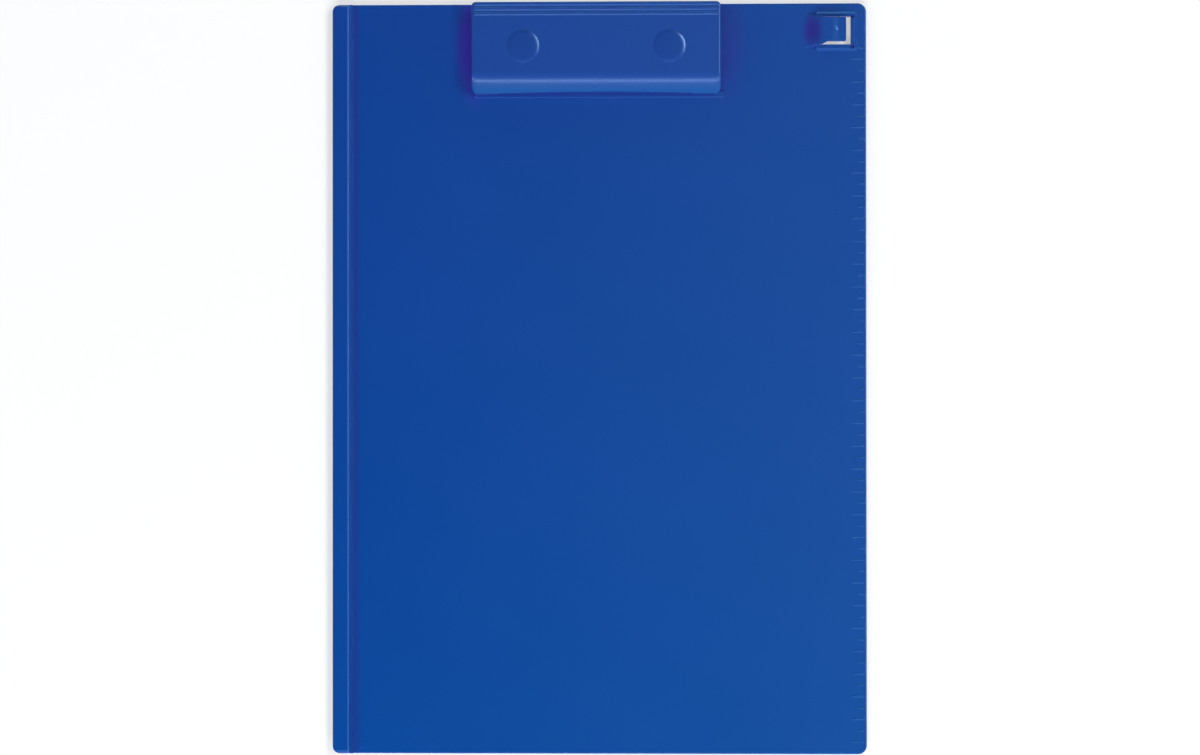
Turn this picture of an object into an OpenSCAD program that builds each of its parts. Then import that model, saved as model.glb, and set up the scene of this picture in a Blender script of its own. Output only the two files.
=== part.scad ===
// A4 clipboard: a moulded plate with a sprung lever clip at its top edge.
// The board lies on its back. +X is to the right, +Y runs up the page to the clip,
// +Z points up out of the page. The origin is the centre of the board's underside.

/* [Board] */
// Width of the board, across the page
board_w = 235; // [225:1:260]
// Length of the board, along the page
board_l = 330; // [315:1:380]
// Thickness of the moulded plate
board_t = 3; // [2.6:0.1:5]
// Radius of the four corners, seen from above
corner_r = 3.8; // [2.5:0.5:8]
// Rounding of the plate's edges
edge_r = 0.6; // [0.3:0.1:1]

/* [Paper stop rib] */
// Width of the tall rib along the left edge
rib_w = 7.5; // [4:0.1:12]
// Height of the rib above the plate
rib_h = 2.3; // [1:0.1:4]
// Rounding of the rib's inner long edge
rib_r = 0.6; // [0.3:0.1:0.9]
// Rounding of the rib's outer long edge
rib_outer_r = 1.5; // [0.3:0.1:2]
// Rounding of the rib's two ends
rib_end_r = 2; // [0.6:0.1:2.2]
// Width of the low shelf beside the rib
shelf_w = 1.5; // [1:0.1:5]
// Height of the shelf above the plate
shelf_h = 0.35; // [0.1:0.05:0.8]

/* [Scale] */
// Distance from the board's top edge to the first long line
scale_top = 24.6; // [18:0.1:40]
// Least distance from the last long line to the bottom edge
scale_end = 5; // [4:0.5:20]
// Gap between the lines and the board's right edge
scale_margin = 1.1; // [0.8:0.1:3]
// Length of a centimetre line
long_line = 5.3; // [3:0.1:10]
// Length of a half centimetre line
short_line = 2.4; // [1:0.1:5]
// Width of a raised line
line_w = 0.7; // [0.4:0.05:1]
// Height of a raised line above the plate
line_h = 0.2; // [0.1:0.05:0.3]

/* [Jaw bar] */
// How far the bar that the lip closes on runs past the lever's width, at each end
jaw_over = 0.4; // [0:0.1:5]
// Width of the bar, along the page
jaw_d = 2.8; // [2:0.1:5]
// Height of the bar above the plate
jaw_h = 0.8; // [0.5:0.1:2]
// How far the bar shows in front of the lip
jaw_front = 1.3; // [0:0.1:1.8]
// Rounding of the bar's top edges
jaw_r = 0.35; // [0.1:0.05:0.45]

/* [Corner frame and tongue] */
// Distance from the board's right edge to the window
win_right = 6.8; // [5:0.1:12]
// Distance from the board's top edge to the window
win_top = 5.9; // [4.5:0.1:12]
// Width of the window
win_w = 13.8; // [12:0.1:18]
// Length of the window, along the page
win_l = 12.3; // [12:0.1:16]
// Width of the frame to the right of the window and below it
frame_w = 2.7; // [2:0.1:4]
// Width of the frame above the window
frame_top_w = 2.2; // [1.2:0.1:3]
// Height of the frame above the plate
frame_h = 0.8; // [0.5:0.1:1.5]
// Slope width of the frame's outer sides
frame_bevel = 1; // [0.3:0.1:1.1]
// How far the frame's two arms run past the window, to the left
frame_left = 2.3; // [1.7:0.1:4]
// Cut across the outer corners of the arms' ends
frame_cut = 1.6; // [0.5:0.1:1.6]
// Width of the tongue, along the page
tongue_w = 10.7; // [8:0.1:11]
// How far the tongue lies above the window's middle, along the page
tongue_up = 0.4; // [0:0.1:0.4]
// Length of the tongue's wide root
root_l = 1.2; // [0.5:0.1:2]
// Thickness of the tongue
tongue_t = 1.8; // [1.2:0.1:2]
// Gap between the tongue's free end and the frame
tongue_gap = 2.1; // [1.5:0.1:4]
// Height of the tongue's crest above the plate
tongue_rise = 3.4; // [2.8:0.1:5]
// How much lower the tongue's free end lies than its crest
tongue_drop = 0.4; // [0:0.1:1.2]
// Length of the ramp in front of the window
ramp_l = 6.4; // [3:0.1:10]
// Distance from the window's left side to the tongue's crest
crest_in = 1.9; // [1:0.1:4]
// Length of the crest
crest_l = 3; // [0.5:0.1:3.5]
// Length of the slope down from the crest
drop_l = 4.4; // [2:0.1:5]
// Diameter of the dimples at the window's corners
dimple_d = 1.8; // [1:0.1:2.4]
// How far the dimples lie to the right of the window
dimple_x = 0.6; // [0.2:0.1:1]
// How far the lower dimple lies below the window
dimple_y = 1; // [0.5:0.1:1.4]
// Distance from the window's left side to the raised pad on the tongue
pad_in = 6.5; // [4:0.1:7]
// Radius of the raised pad
pad_r = 1.6; // [1:0.1:2]
// Height of the raised pad
pad_h = 0.15; // [0.15:0.05:0.5]

/* [Witness mark] */
// Radius of the low round mark at the lower left
witness_r = 2.2; // [1:0.1:4]
// Distance of the mark from the left edge
witness_x = 12.7; // [12:0.1:20]
// Distance of the mark from the bottom edge
witness_y = 3.9; // [3:0.1:10]
// Height of the mark above the plate
witness_h = 0.15; // [0.1:0.01:0.3]

/* [Clip lever] */
// Width of the lever
lever_w = 109.2; // [95:0.1:130]
// Depth of the lever, from its rear edge to its lip
lever_d = 39.8; // [37:0.1:46]
// How far the lever's rear edge lies inside the board's top edge
lever_back = 0.2; // [0:0.1:1]
// Wall thickness of the lever's top and lip
lever_wall = 2; // [1.6:0.1:2.6]
// Thickness of the side cheeks
cheek_t = 2.2; // [1.6:0.1:4]
// Outer radius of the rolled front
roll_r = 9.3; // [6:0.1:9.8]
// How far the lip curves back at its middle
lip_arch = 0.95; // [0.3:0.05:1.2]
// Radius of the lever's four corners, seen from above
lever_corner_r = 2.2; // [1:0.1:4]
// Rounding of the lever's side edges
side_r = 0.8; // [0.5:0.1:1.8]
// The lever sits this far off centre, within its end float
lever_shift = -1; // [-1.2:0.1:1.2]
// Slope of the cheeks' rear underside, which clears the board
cheek_slope = 26; // [25:1:30]

/* [Domes and finger ribs] */
// Radius of a dome
dome_r = 7.3; // [7.2:0.1:9]
// Height of a dome
dome_h = 0.6; // [0.5:0.1:1]
// Radius of a dome's gently crowned middle
dome_flat = 5; // [3.5:0.1:5.8]
// Height of the crown of a dome's middle
dome_crown = 0.1; // [0.05:0.01:0.12]
// Number of finger ribs
grip_count = 3; // [1:1:4]
// Distance between finger ribs
grip_pitch = 2.1; // [1.8:0.1:2.6]
// Distance from the rear edge to the first finger rib
grip_rear = 1; // [0.9:0.05:2]
// Width of a finger rib
grip_w = 1.6; // [1:0.1:1.7]
// Height of a finger rib
grip_h = 0.4; // [0.2:0.05:0.7]
// Distance from the lever's sides to the ribs' ends
grip_end = 1.3; // [1.2:0.1:5]

/* [Hinge] */
// Distance from the board's top edge to the hinge pin
axis_back = 19.6; // [19:0.1:21]
// Diameter of the hinge pin
pin_d = 3; // [2:0.1:3.2]
// How far the pin's ends lie inside the cheeks
pin_recess = 0.5; // [0.2:0.1:1.2]
// Clearance round the pin where a piece turns on it
running_gap = 0.05; // [0.02:0.01:0.1]
// Gap between pieces that rest on each other
seat_gap = 0.1; // [0.05:0.01:0.2]
// Sheet thickness of the brackets
bracket_t = 0.8; // [0.6:0.1:1.2]
// Length of a bracket's base, along the page
bracket_l = 25; // [24:0.5:28]
// Radius of the bracket's base corners
bracket_r = 2; // [1:0.1:4]
// Radius of an ear's round top
ear_r = 3.2; // [2.6:0.1:3.6]
// Width of an ear at its foot
ear_foot = 9; // [7:0.1:10]
// Thickness of the lever's webs beside the brackets
web_t = 1.8; // [1.2:0.1:3]
// Radius of a web's round end
web_r = 3.6; // [3:0.1:3.8]
// Half of the lever's end float
end_float = 1.5; // [1.3:0.1:3]

/* [Springs] */
// Distance of each spring from the lever's end
spring_in = 22.6; // [18:0.1:28]
// Wire diameter
wire_d = 1.2; // [0.8:0.1:1.2]
// Radius of the coil, to the middle of the wire
coil_r = 3.4; // [3.2:0.1:3.8]
// Whole turns in a coil, which has half a turn more
coil_turns = 5; // [3:1:6]
// Distance between turns
coil_pitch = 1.7; // [1.65:0.05:1.9]
// Length of a straight leg
leg_l = 12; // [8:0.5:13]
// Gap between a coil's end and the bracket's ear
coil_side = 0.4; // [0.2:0.1:1]

/* [Rivets] */
// Distance between the two rivets of a bracket
rivet_pitch = 18; // [17:0.5:19]
// Diameter of a rivet's shank
rivet_d = 3.2; // [2.4:0.1:3.4]
// Radius of a rivet's head
rivet_head_r = 2.8; // [2.4:0.1:3]
// Height of a rivet's head
rivet_head_h = 1; // [0.6:0.1:1.2]
// Clearance round the shanks
rivet_gap = 0.05; // [0.02:0.01:0.2]
// Radius of the counterbores in the board's back
sink_r = 4; // [3.8:0.1:5]
// Depth of the counterbores
sink_depth = 1.4; // [1.2:0.1:1.6]
// Radius of a washer
washer_r = 3.5; // [3:0.1:3.7]
// Thickness of a washer
washer_t = 0.5; // [0.4:0.1:0.6]
// Radius of a rivet's clinched end
clinch_r = 2.4; // [2:0.1:2.8]
// Thickness of a rivet's clinched end
clinch_t = 0.5; // [0.3:0.1:0.5]
// Radius of the hole down a rivet's clinched end
rivet_hole_r = 0.9; // [0.5:0.1:1]

/* [Hidden] */
$fn = 64;

top_y = board_l / 2;
right_x = board_w / 2;
centimetre = 10;
past = 1;            // how far a cutting shape runs past the face it opens
arc_steps = 6;       // straight steps in a quarter of a small rounding

// Hinge line and lever heights, stacked up from the plate
axis_y = top_y - axis_back;
base_top = board_t + bracket_t;
axis_z = base_top + seat_gap + wire_d / 2 + coil_r;
under_z = axis_z + coil_r + wire_d / 2 + seat_gap;
lever_top = under_z + lever_wall;
rear_y = top_y - lever_back;
lip_y = rear_y - lever_d;
lip_z = board_t + jaw_h + seat_gap;
jaw_w = lever_w + 2 * jaw_over;
jaw_y = lip_y - jaw_front + jaw_d / 2;

// Springs and what holds them
spring_x = lever_w / 2 - spring_in;
rings_per_turn = 8;
wire_sides = 6;
turns = coil_turns + 0.5;
coil_l = turns * coil_pitch;
bracket_inner = coil_l + wire_d + 2 * coil_side;
bracket_w = bracket_inner + 2 * bracket_t;
bush_r = coil_r * cos(180 / rings_per_turn) - wire_d / 2 - seat_gap;
bush_l = bracket_inner - 2 * seat_gap;
web_x = spring_x + bracket_w / 2 + end_float;
pin_l = lever_w - 2 * pin_recess;

// Colours
blue = [0.08, 0.28, 0.6];
steel = [0.72, 0.73, 0.75];
dark_steel = [0.45, 0.46, 0.48];
nylon = [0.88, 0.87, 0.82];

// Points along an arc, with both ends
function arc(cx, cy, r, from, to, steps = arc_steps) =
    [for (i = [0:steps]) [cx + r * cos(from + (to - from) * i / steps),
        cy + r * sin(from + (to - from) * i / steps)]];

// A cap's sphere radius from its base radius and its height
function cap_radius(base, height) = (base * base + height * height) / (2 * height);

// Lays an outline drawn in Y and Z along X, centred
module along_x(length) {
    rotate([90, 0, 90]) linear_extrude(length, center = true) children();
}

// Lays an outline drawn in X and Z along Y, centred
module along_y(length) {
    rotate([90, 0, 0]) linear_extrude(length, center = true) children();
}

// A cylinder along X, centred
module rod_x(r, length) {
    rotate([0, 90, 0]) cylinder(r = r, h = length, center = true);
}

// Plan outline with round corners
module round_plan(w, l, r) {
    square([w - 2 * r, l], center = true);
    square([w, l - 2 * r], center = true);
    for (sx = [-1, 1], sy = [-1, 1]) translate([sx * (w / 2 - r), sy * (l / 2 - r)]) circle(r);
}

// Cross-section of a plate with rounded edges, standing on the axis
module edge_outline(w, t, e) {
    polygon(concat(arc(e - w / 2, e, e, 180, 270), arc(w / 2 - e, e, e, 270, 360),
        arc(w / 2 - e, t - e, e, 0, 90), arc(e - w / 2, t - e, e, 90, 180)));
}

// Plate with round corners and rounded edges, standing on z = 0
module slab(w, l, t, r, e) {
    along_y(l - 2 * r) edge_outline(w, t, e);
    along_x(w - 2 * r) edge_outline(l, t, e);
    for (sx = [-1, 1], sy = [-1, 1]) translate([sx * (w / 2 - r), sy * (l / 2 - r), 0])
        rotate_extrude() intersection() {
            edge_outline(2 * r, t, e);
            square([r, t]);
        }
}

// Low round cap, such as a dome, standing on z = 0 and reaching below it
module cap(base, height, sink) {
    ball = cap_radius(base, height);
    rotate_extrude() intersection() {
        translate([0, height - ball]) circle(ball, $fn = 180);
        translate([0, -sink]) square([base, height + sink]);
    }
}

// Board: paper stop rib with its low shelf, along the whole left edge
module stop_rib() {
    left = -right_x;
    crest = board_t + rib_h;
    foot = left + rib_w;
    intersection() {
        along_y(board_l) polygon(concat([[left, board_t / 2]],
            arc(left + rib_outer_r, crest - rib_outer_r, rib_outer_r, 180, 90),
            arc(foot - rib_r, crest - rib_r, rib_r, 90, 0),
            arc(foot + 2 * shelf_h, board_t + 2 * shelf_h, shelf_h, 180, 270),
            [[foot + shelf_w, board_t + shelf_h], [foot + shelf_w, board_t / 2]]));
        linear_extrude(crest + past) round_plan(board_w, board_l, corner_r);
        along_x(2 * board_w) edge_outline(board_l, crest, rib_end_r);
    }
}

// Board: one raised line of the scale
module scale_line(y, length) {
    ball = cap_radius(line_w / 2, line_h);
    translate([right_x - scale_margin - length / 2, y, board_t + line_h - ball])
        rotate([0, 90, 0]) cylinder(r = ball, h = length, center = true, $fn = 24);
}

// Board: centimetre lines from the top down, and half centimetre lines between them
module scale_lines() {
    zero_y = top_y - scale_top;
    count = floor((board_l - scale_top - scale_end) / centimetre);
    for (i = [0:count]) {
        scale_line(zero_y - i * centimetre, long_line);
        scale_line(zero_y - (i - 0.5) * centimetre, short_line);
    }
}

// Board: low cap with its top cut flat, left by a mould pin
module witness_mark() {
    translate([witness_x - right_x, witness_y - top_y, board_t]) intersection() {
        cap(witness_r, 2 * witness_h, 2 * witness_h);
        cylinder(r = witness_r + past, h = 2 * witness_h, center = true);
    }
}

// Board: bar under the clip's lip
module jaw_bar() {
    translate([0, jaw_y, 0]) intersection() {
        along_x(jaw_w) edge_outline(jaw_d, board_t + jaw_h, jaw_r);
        translate([-jaw_w / 2, -jaw_d / 2, board_t / 2]) cube([jaw_w, jaw_d, board_t + jaw_h]);
    }
}

// Places on the corner frame: the window's corner nearest the board's corner
win_x1 = right_x - win_right;
win_y1 = top_y - win_top;
win_x0 = win_x1 - win_w;
win_y0 = win_y1 - win_l;
win_yc = (win_y0 + win_y1) / 2;
tongue_yc = win_yc + tongue_up;
tongue_y0 = tongue_yc - tongue_w / 2;
tongue_y1 = tongue_yc + tongue_w / 2;
ramp_x = win_x0 - ramp_l;
tongue_end = win_x1 - tongue_gap;
crest_a = win_x0 + crest_in;
crest_b = crest_a + crest_l;
crest_c = crest_b + drop_l;

// Height of the tongue's top above the plate
function ease(t) = t * t * (3 - 2 * t);
function tongue_z(x) =
    x < crest_a ? tongue_rise * ease((x - ramp_x) / (crest_a - ramp_x)) :
    x < crest_b ? tongue_rise :
    x < crest_c ? tongue_rise - tongue_drop * ease((x - crest_b) / (crest_c - crest_b)) :
    tongue_rise - tongue_drop;
function tongue_slope(x) = tongue_z(x - pad_h) - tongue_z(x + pad_h);
function tongue_line(from, to, lift, steps) =
    [for (i = [0:steps]) let (x = from + (to - from) * i / steps) [x, board_t + lift + tongue_z(x)]];

// Board: raised frame round the window, sloped outside, with its window still closed
module corner_frame() {
    x0 = win_x0 - frame_left;
    x1 = win_x1 + frame_w;
    y0 = win_y0 - frame_w;
    y1 = win_y1 + frame_top_w;
    h = board_t + frame_h;
    intersection() {
        translate([0, (y0 + y1) / 2, 0]) along_y(y1 - y0) polygon([[x0, board_t / 2],
            [x0, board_t], [x0 + frame_bevel, h], [x1 - frame_bevel, h], [x1, board_t],
            [x1, board_t / 2]]);
        translate([(x0 + x1) / 2, 0, 0]) along_x(x1 - x0) polygon([[y0, board_t / 2],
            [y0, board_t], [y0 + frame_bevel, h], [y1 - frame_bevel, h], [y1, board_t],
            [y1, board_t / 2]]);
        linear_extrude(h + past) polygon([[x0, y0 + frame_cut], [x0 + frame_cut, y0], [x1, y0],
            [x1, y1], [x0 + frame_cut, y1], [x0, y1 - frame_cut], [x0, win_y1],
            [win_x0, win_y1], [win_x0, win_y0], [x0, win_y0]]);
    }
}

// Board: solid ramp that rises to the tongue, with sloped flanks
module ramp() {
    high = board_t + tongue_rise;
    low_y0 = win_y0 - frame_bevel;
    low_y1 = win_y1 + frame_bevel;
    intersection() {
        translate([0, win_yc, 0]) along_y(win_l + 4 * frame_w)
            polygon(concat([[win_x0, board_t / 2], [ramp_x, board_t / 2]],
                tongue_line(ramp_x, win_x0, 0, 14)));
        translate([(ramp_x + win_x0) / 2, 0, 0]) along_x(ramp_l) polygon([
            [low_y0, board_t / 2], [low_y1, board_t / 2], [low_y1, board_t],
            [tongue_y1, high], [tongue_y0, high], [low_y0, board_t]]);
    }
}

// Plan of the tongue: a root as wide as the window, drawn in to the blade, with round corners
module tongue_plan() {
    end_r = 0.8;
    back = win_x0 - tongue_t;
    root = win_x0 + root_l;
    polygon([[back, win_y0], [root, win_y0], [root + 2 * (tongue_y0 - win_y0), tongue_y0],
        [tongue_end - end_r, tongue_y0], [tongue_end - end_r, tongue_y1],
        [root + 2 * (win_y1 - tongue_y1), tongue_y1], [root, win_y1], [back, win_y1]]);
    translate([root, tongue_y0 + end_r]) square([tongue_end - root, tongue_w - 2 * end_r]);
    for (y = [tongue_y0 + end_r, tongue_y1 - end_r]) translate([tongue_end - end_r, y]) circle(end_r);
}

// Board: arched tongue, free at its right end, with a raised pad
module tongue() {
    back = win_x0 - tongue_t;
    intersection() {
        translate([0, win_yc, 0]) along_y(win_l + past)
            polygon(concat(tongue_line(back, tongue_end, 0, 28),
                tongue_line(tongue_end, back, -tongue_t, 28)));
        linear_extrude(board_t + tongue_rise + past) tongue_plan();
    }
    pad_x = win_x0 + pad_in;
    translate([pad_x, tongue_yc, board_t + tongue_z(pad_x)])
        rotate([0, atan(tongue_slope(pad_x) / (2 * pad_h)), 0]) cap(pad_r, pad_h, tongue_t / 2);
}

// Places of the four rivets
module at_rivets() {
    for (sx = [-1, 1], sy = [-1, 1])
        translate([sx * spring_x, axis_y + sy * rivet_pitch / 2, 0]) children();
}

module board() {
    color(blue) {
        difference() {
            union() {
                slab(board_w, board_l, board_t, corner_r, edge_r);
                stop_rib();
                scale_lines();
                jaw_bar();
                corner_frame();
                ramp();
                witness_mark();
            }
            translate([win_x0, win_y0, -past])
                cube([win_w, win_l, board_t + tongue_rise + 2 * past]);
            for (y = [win_y0 - dimple_y, win_y1])
                translate([win_x1 + dimple_x, y, board_t]) cylinder(d = dimple_d, h = frame_h + past);
            at_rivets() {
                translate([0, 0, -past]) cylinder(r = rivet_d / 2 + rivet_gap, h = board_t + 2 * past);
                translate([0, 0, -past]) cylinder(r = sink_r, h = sink_depth + past);
            }
        }
        tongue();
    }
}

// Lever outline in Y and Z, seen from the side, with its rear underside cut to clear the board
module lever_side() {
    clear_y = axis_y + (under_z - lip_z) / tan(cheek_slope);
    difference() {
        union() {
            translate([lip_y + roll_r, lip_z]) square([lever_d - roll_r, lever_top - lip_z]);
            translate([lip_y, lip_z]) square([lever_d, lever_top - roll_r - lip_z]);
            translate([lip_y + roll_r, lever_top - roll_r]) circle(roll_r, $fn = 128);
        }
        polygon([[axis_y, lip_z - roll_r], [top_y + past, lip_z - roll_r], [top_y + past, under_z],
            [clear_y, under_z], [axis_y, lip_z]]);
        translate([lip_y, lip_z - roll_r]) square([lever_d, roll_r]);
    }
}

// Lever: hollow under the top wall, between the cheeks
module lever_hollow() {
    inner_r = roll_r - lever_wall;
    along_x(lever_w - 2 * cheek_t) union() {
        translate([lip_y + roll_r, 0]) square([lever_d, under_z]);
        translate([lip_y + lever_wall, 0]) square([lever_d, lever_top - roll_r]);
        translate([lip_y + roll_r, lever_top - roll_r]) circle(inner_r, $fn = 128);
    }
}

// Lever: webs that hang beside the brackets and hold the pin
module lever_webs() {
    for (side = [-1, 1]) translate([side * (web_x + web_t / 2), 0, 0]) along_x(web_t) union() {
        translate([axis_y - web_r, axis_z]) square([2 * web_r, under_z + lever_wall / 2 - axis_z]);
        translate([axis_y, axis_z]) circle(web_r);
    }
}

// Lever: finger ribs along the rear edge
module finger_ribs() {
    ball = cap_radius(grip_w / 2, grip_h);
    for (i = [0:grip_count - 1])
        translate([0, rear_y - grip_rear - i * grip_pitch, lever_top + grip_h - ball])
            rod_x(ball, lever_w - 2 * grip_end);
}

// Lever: dome with a gently crowned middle that runs smoothly into a rounded rim
module dome() {
    crown = cap_radius(dome_flat, dome_crown);
    lean = asin(dome_flat / crown);
    reach = dome_r - dome_flat;
    fall = dome_h - dome_crown;
    rim = (reach * reach + fall * fall) / (2 * (fall * cos(lean) - reach * sin(lean)));
    sink = lever_wall / 2;
    rotate_extrude() {
        intersection() {
            translate([0, dome_h - crown]) circle(crown, $fn = 1440);
            translate([0, -sink]) square([dome_flat, dome_h + sink]);
        }
        intersection() {
            translate([dome_flat - rim * sin(lean), fall - rim * cos(lean)]) circle(rim, $fn = 360);
            translate([dome_flat, -sink]) square([reach, dome_h + sink]);
        }
    }
}

module clip_lever() {
    half = lever_w / 2;
    arch_r = (half * half + lip_arch * lip_arch) / (2 * lip_arch);
    color(blue) translate([lever_shift, 0, 0]) difference() {
        union() {
            difference() {
                intersection() {
                    along_x(lever_w) lever_side();
                    translate([0, rear_y - lever_d / 2, 0])
                        along_y(lever_d) edge_outline(lever_w, lever_top, side_r);
                    translate([0, rear_y - lever_d / 2, 0])
                        linear_extrude(lever_top + past) round_plan(lever_w, lever_d, lever_corner_r);
                }
                lever_hollow();
            }
            lever_webs();
            finger_ribs();
            for (side = [-1, 1]) translate([side * spring_x, axis_y, lever_top]) dome();
        }
        translate([0, lip_y + lip_arch - arch_r, 0]) cylinder(r = arch_r, h = lever_top, $fn = 1440);
        translate([0, axis_y, axis_z]) rod_x(pin_d / 2 + running_gap, lever_w + past);
        for (side = [-1, 1]) translate([side * spring_x, axis_y, under_z])
            cap(dome_r - lever_wall / 2, dome_h, lever_wall / 4);
    }
}

module hinge_pin() {
    color(steel) translate([lever_shift, axis_y, axis_z]) rod_x(pin_d / 2, pin_l);
}

// Pressed bracket: a flat base with two ears bent up from its middle, bored for the pin
module bracket(side) {
    color(steel) translate([side * spring_x, axis_y, 0]) difference() {
        union() {
            translate([0, 0, board_t]) linear_extrude(bracket_t)
                round_plan(bracket_inner, bracket_l, bracket_r);
            for (ear = [-1, 1]) translate([ear * (bracket_w - bracket_t) / 2, 0, 0])
                along_x(bracket_t) union() {
                    translate([0, axis_z]) circle(ear_r);
                    polygon([[-ear_foot / 2, board_t], [ear_foot / 2, board_t],
                        [ear_r, axis_z], [-ear_r, axis_z]]);
                }
        }
        translate([0, 0, axis_z]) rod_x(pin_d / 2, bracket_w + past);
        for (end = [-1, 1]) translate([0, end * rivet_pitch / 2, 0])
            cylinder(r = rivet_d / 2 + rivet_gap, h = base_top + past);
    }
}

module bracket_left() { bracket(-1); }
module bracket_right() { bracket(1); }

// Four rivets, each with a low round head, a shank and a clinched end under its washer
module bracket_rivets() {
    clinch_z = sink_depth - washer_t - clinch_t;
    color(dark_steel) at_rivets() difference() {
        union() {
            translate([0, 0, base_top]) cap(rivet_head_r, rivet_head_h, 0);
            translate([0, 0, clinch_z]) cylinder(d = rivet_d, h = base_top - clinch_z);
            translate([0, 0, clinch_z]) cylinder(r = clinch_r, h = clinch_t);
        }
        translate([0, 0, clinch_z - past]) cylinder(r = rivet_hole_r, h = board_t / 2 + past);
    }
}

module rivet_washers() {
    color(steel) at_rivets() translate([0, 0, sink_depth - washer_t]) difference() {
        cylinder(r = washer_r, h = washer_t);
        translate([0, 0, -past]) cylinder(r = rivet_d / 2 + rivet_gap, h = washer_t + 2 * past);
    }
}

// Spring route: fixed leg in from the rear, the coil round the pin, moving leg out to the rear
coil_points = rings_per_turn * turns;
function coil_at(i) = let (turned = -90 - 360 * i / rings_per_turn)
    [coil_l * (i / coil_points - 0.5), coil_r * cos(turned), coil_r * sin(turned)];
spring_route = concat(
    [[-coil_l / 2, leg_l, -coil_r]],
    [for (i = [0:coil_points]) coil_at(i)],
    [[coil_l / 2, leg_l, coil_r]]);

// Least gap of the wire to itself, between points a turn apart or more
route_end = len(spring_route) - 1;
self_gap = min([for (i = [0:route_end - rings_per_turn], j = [i + rings_per_turn - 1:route_end])
    norm(spring_route[i] - spring_route[j])]) - wire_d;

function unit(v) = v / norm(v);

// Ring of points round the route at point i, square to the route there
function wire_ring(route, i) =
    let (last = len(route) - 1,
        ahead = unit(route[min(i + 1, last)] - route[max(i - 1, 0)]),
        side = unit([1, 0, 0] - ahead[0] * ahead),
        up = cross(ahead, side))
    [for (k = [0:wire_sides - 1]) route[i]
        + wire_d / 2 * (cos(360 * k / wire_sides) * side + sin(360 * k / wire_sides) * up)];

// Tube along a route, as one closed skin of triangles
module wire(route) {
    rings = len(route);
    points = [for (i = [0:rings - 1]) each wire_ring(route, i)];
    sides = [for (i = [0:rings - 2], k = [0:wire_sides - 1])
        let (a = i * wire_sides + k, b = i * wire_sides + (k + 1) % wire_sides)
        each [[a, b, b + wire_sides], [a, b + wire_sides, a + wire_sides]]];
    near_cap = [for (k = [1:wire_sides - 2]) [0, k + 1, k]];
    far = (rings - 1) * wire_sides;
    far_cap = [for (k = [1:wire_sides - 2]) [far, far + k, far + k + 1]];
    polyhedron(points, concat(sides, near_cap, far_cap));
}

module spring_right() {
    color(dark_steel) translate([spring_x, axis_y, axis_z]) wire(spring_route);
}

module spring_left() {
    color(dark_steel) translate([-spring_x, axis_y, axis_z]) mirror([1, 0, 0]) wire(spring_route);
}

// Sleeve on the pin that carries the coil and spaces the ears
module spring_bush(side) {
    color(nylon) translate([side * spring_x, axis_y, axis_z]) difference() {
        rod_x(bush_r, bush_l);
        rod_x(pin_d / 2 + running_gap, bush_l + past);
    }
}

module spring_bush_left() { spring_bush(-1); }
module spring_bush_right() { spring_bush(1); }

echo(str("least gap of a spring's wire to itself, mm: ", self_gap));

board();
clip_lever();
hinge_pin();
bracket_left();
bracket_right();
bracket_rivets();
rivet_washers();
spring_left();
spring_right();
spring_bush_left();
spring_bush_right();
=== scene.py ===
# %% [markdown]
# # A clipboard with a sprung lever clip
# The board is one blue moulded plate for an A4 page. A wide lever at its top edge turns on a
# steel pin, and two coil springs press its rolled lip onto the page. The solids, their places
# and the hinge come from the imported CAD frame. This lesson gives every piece its finish, adds
# the soft edges and round wire that the plain solids lack, and sets the light and the camera.

# %% Load the frame
import math
import bmesh
import bpy
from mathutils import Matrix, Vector


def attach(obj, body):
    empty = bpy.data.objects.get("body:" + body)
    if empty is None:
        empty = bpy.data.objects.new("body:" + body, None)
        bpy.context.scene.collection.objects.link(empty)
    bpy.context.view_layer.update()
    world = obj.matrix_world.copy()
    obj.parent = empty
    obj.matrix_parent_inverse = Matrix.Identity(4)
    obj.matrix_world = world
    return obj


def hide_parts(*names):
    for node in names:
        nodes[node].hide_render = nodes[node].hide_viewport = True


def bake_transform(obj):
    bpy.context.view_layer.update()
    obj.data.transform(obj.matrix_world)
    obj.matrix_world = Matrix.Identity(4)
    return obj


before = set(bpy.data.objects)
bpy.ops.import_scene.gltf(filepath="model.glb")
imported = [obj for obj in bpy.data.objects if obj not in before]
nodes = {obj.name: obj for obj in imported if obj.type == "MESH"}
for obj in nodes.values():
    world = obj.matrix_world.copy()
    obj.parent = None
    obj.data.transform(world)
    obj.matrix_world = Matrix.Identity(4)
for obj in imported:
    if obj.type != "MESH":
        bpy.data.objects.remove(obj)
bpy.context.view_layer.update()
MM = 0.001
print("nodes:", sorted(nodes))

# %% [markdown]
# ## Small helpers for node trees
# A material is a graph: numbers and positions flow through nodes into the shader. A few small
# helpers keep that readable. The first fills a node's sockets, where a value is either a plain
# number or another node's output, and the second places a node and fills it.


# %% Helpers that place nodes
def fill(tree, node, values):
    """Sets the node's inputs: an output socket is linked, anything else is its value."""
    by_identifier = {socket.identifier: socket for socket in node.inputs}
    for name, value in values.items():
        socket = by_identifier[name] if name in by_identifier else node.inputs[name]
        if isinstance(value, bpy.types.NodeSocket):
            tree.links.new(value, socket)
        else:
            socket.default_value = value
    return node


def place(tree, kind, values=None, **settings):
    """Adds a node of this kind, with its settings and its inputs."""
    node = tree.nodes.new(kind)
    for name, value in settings.items():
        setattr(node, name, value)
    return fill(tree, node, values or {})


def maths(tree, operation, *values, **settings):
    """One step of arithmetic on numbers."""
    return place(tree, "ShaderNodeMath", dict(enumerate(values)), operation=operation,
                 **settings).outputs[0]


def vectors(tree, operation, values):
    """One step of arithmetic on positions, directions or colours."""
    return place(tree, "ShaderNodeVectorMath", values, operation=operation).outputs


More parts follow.
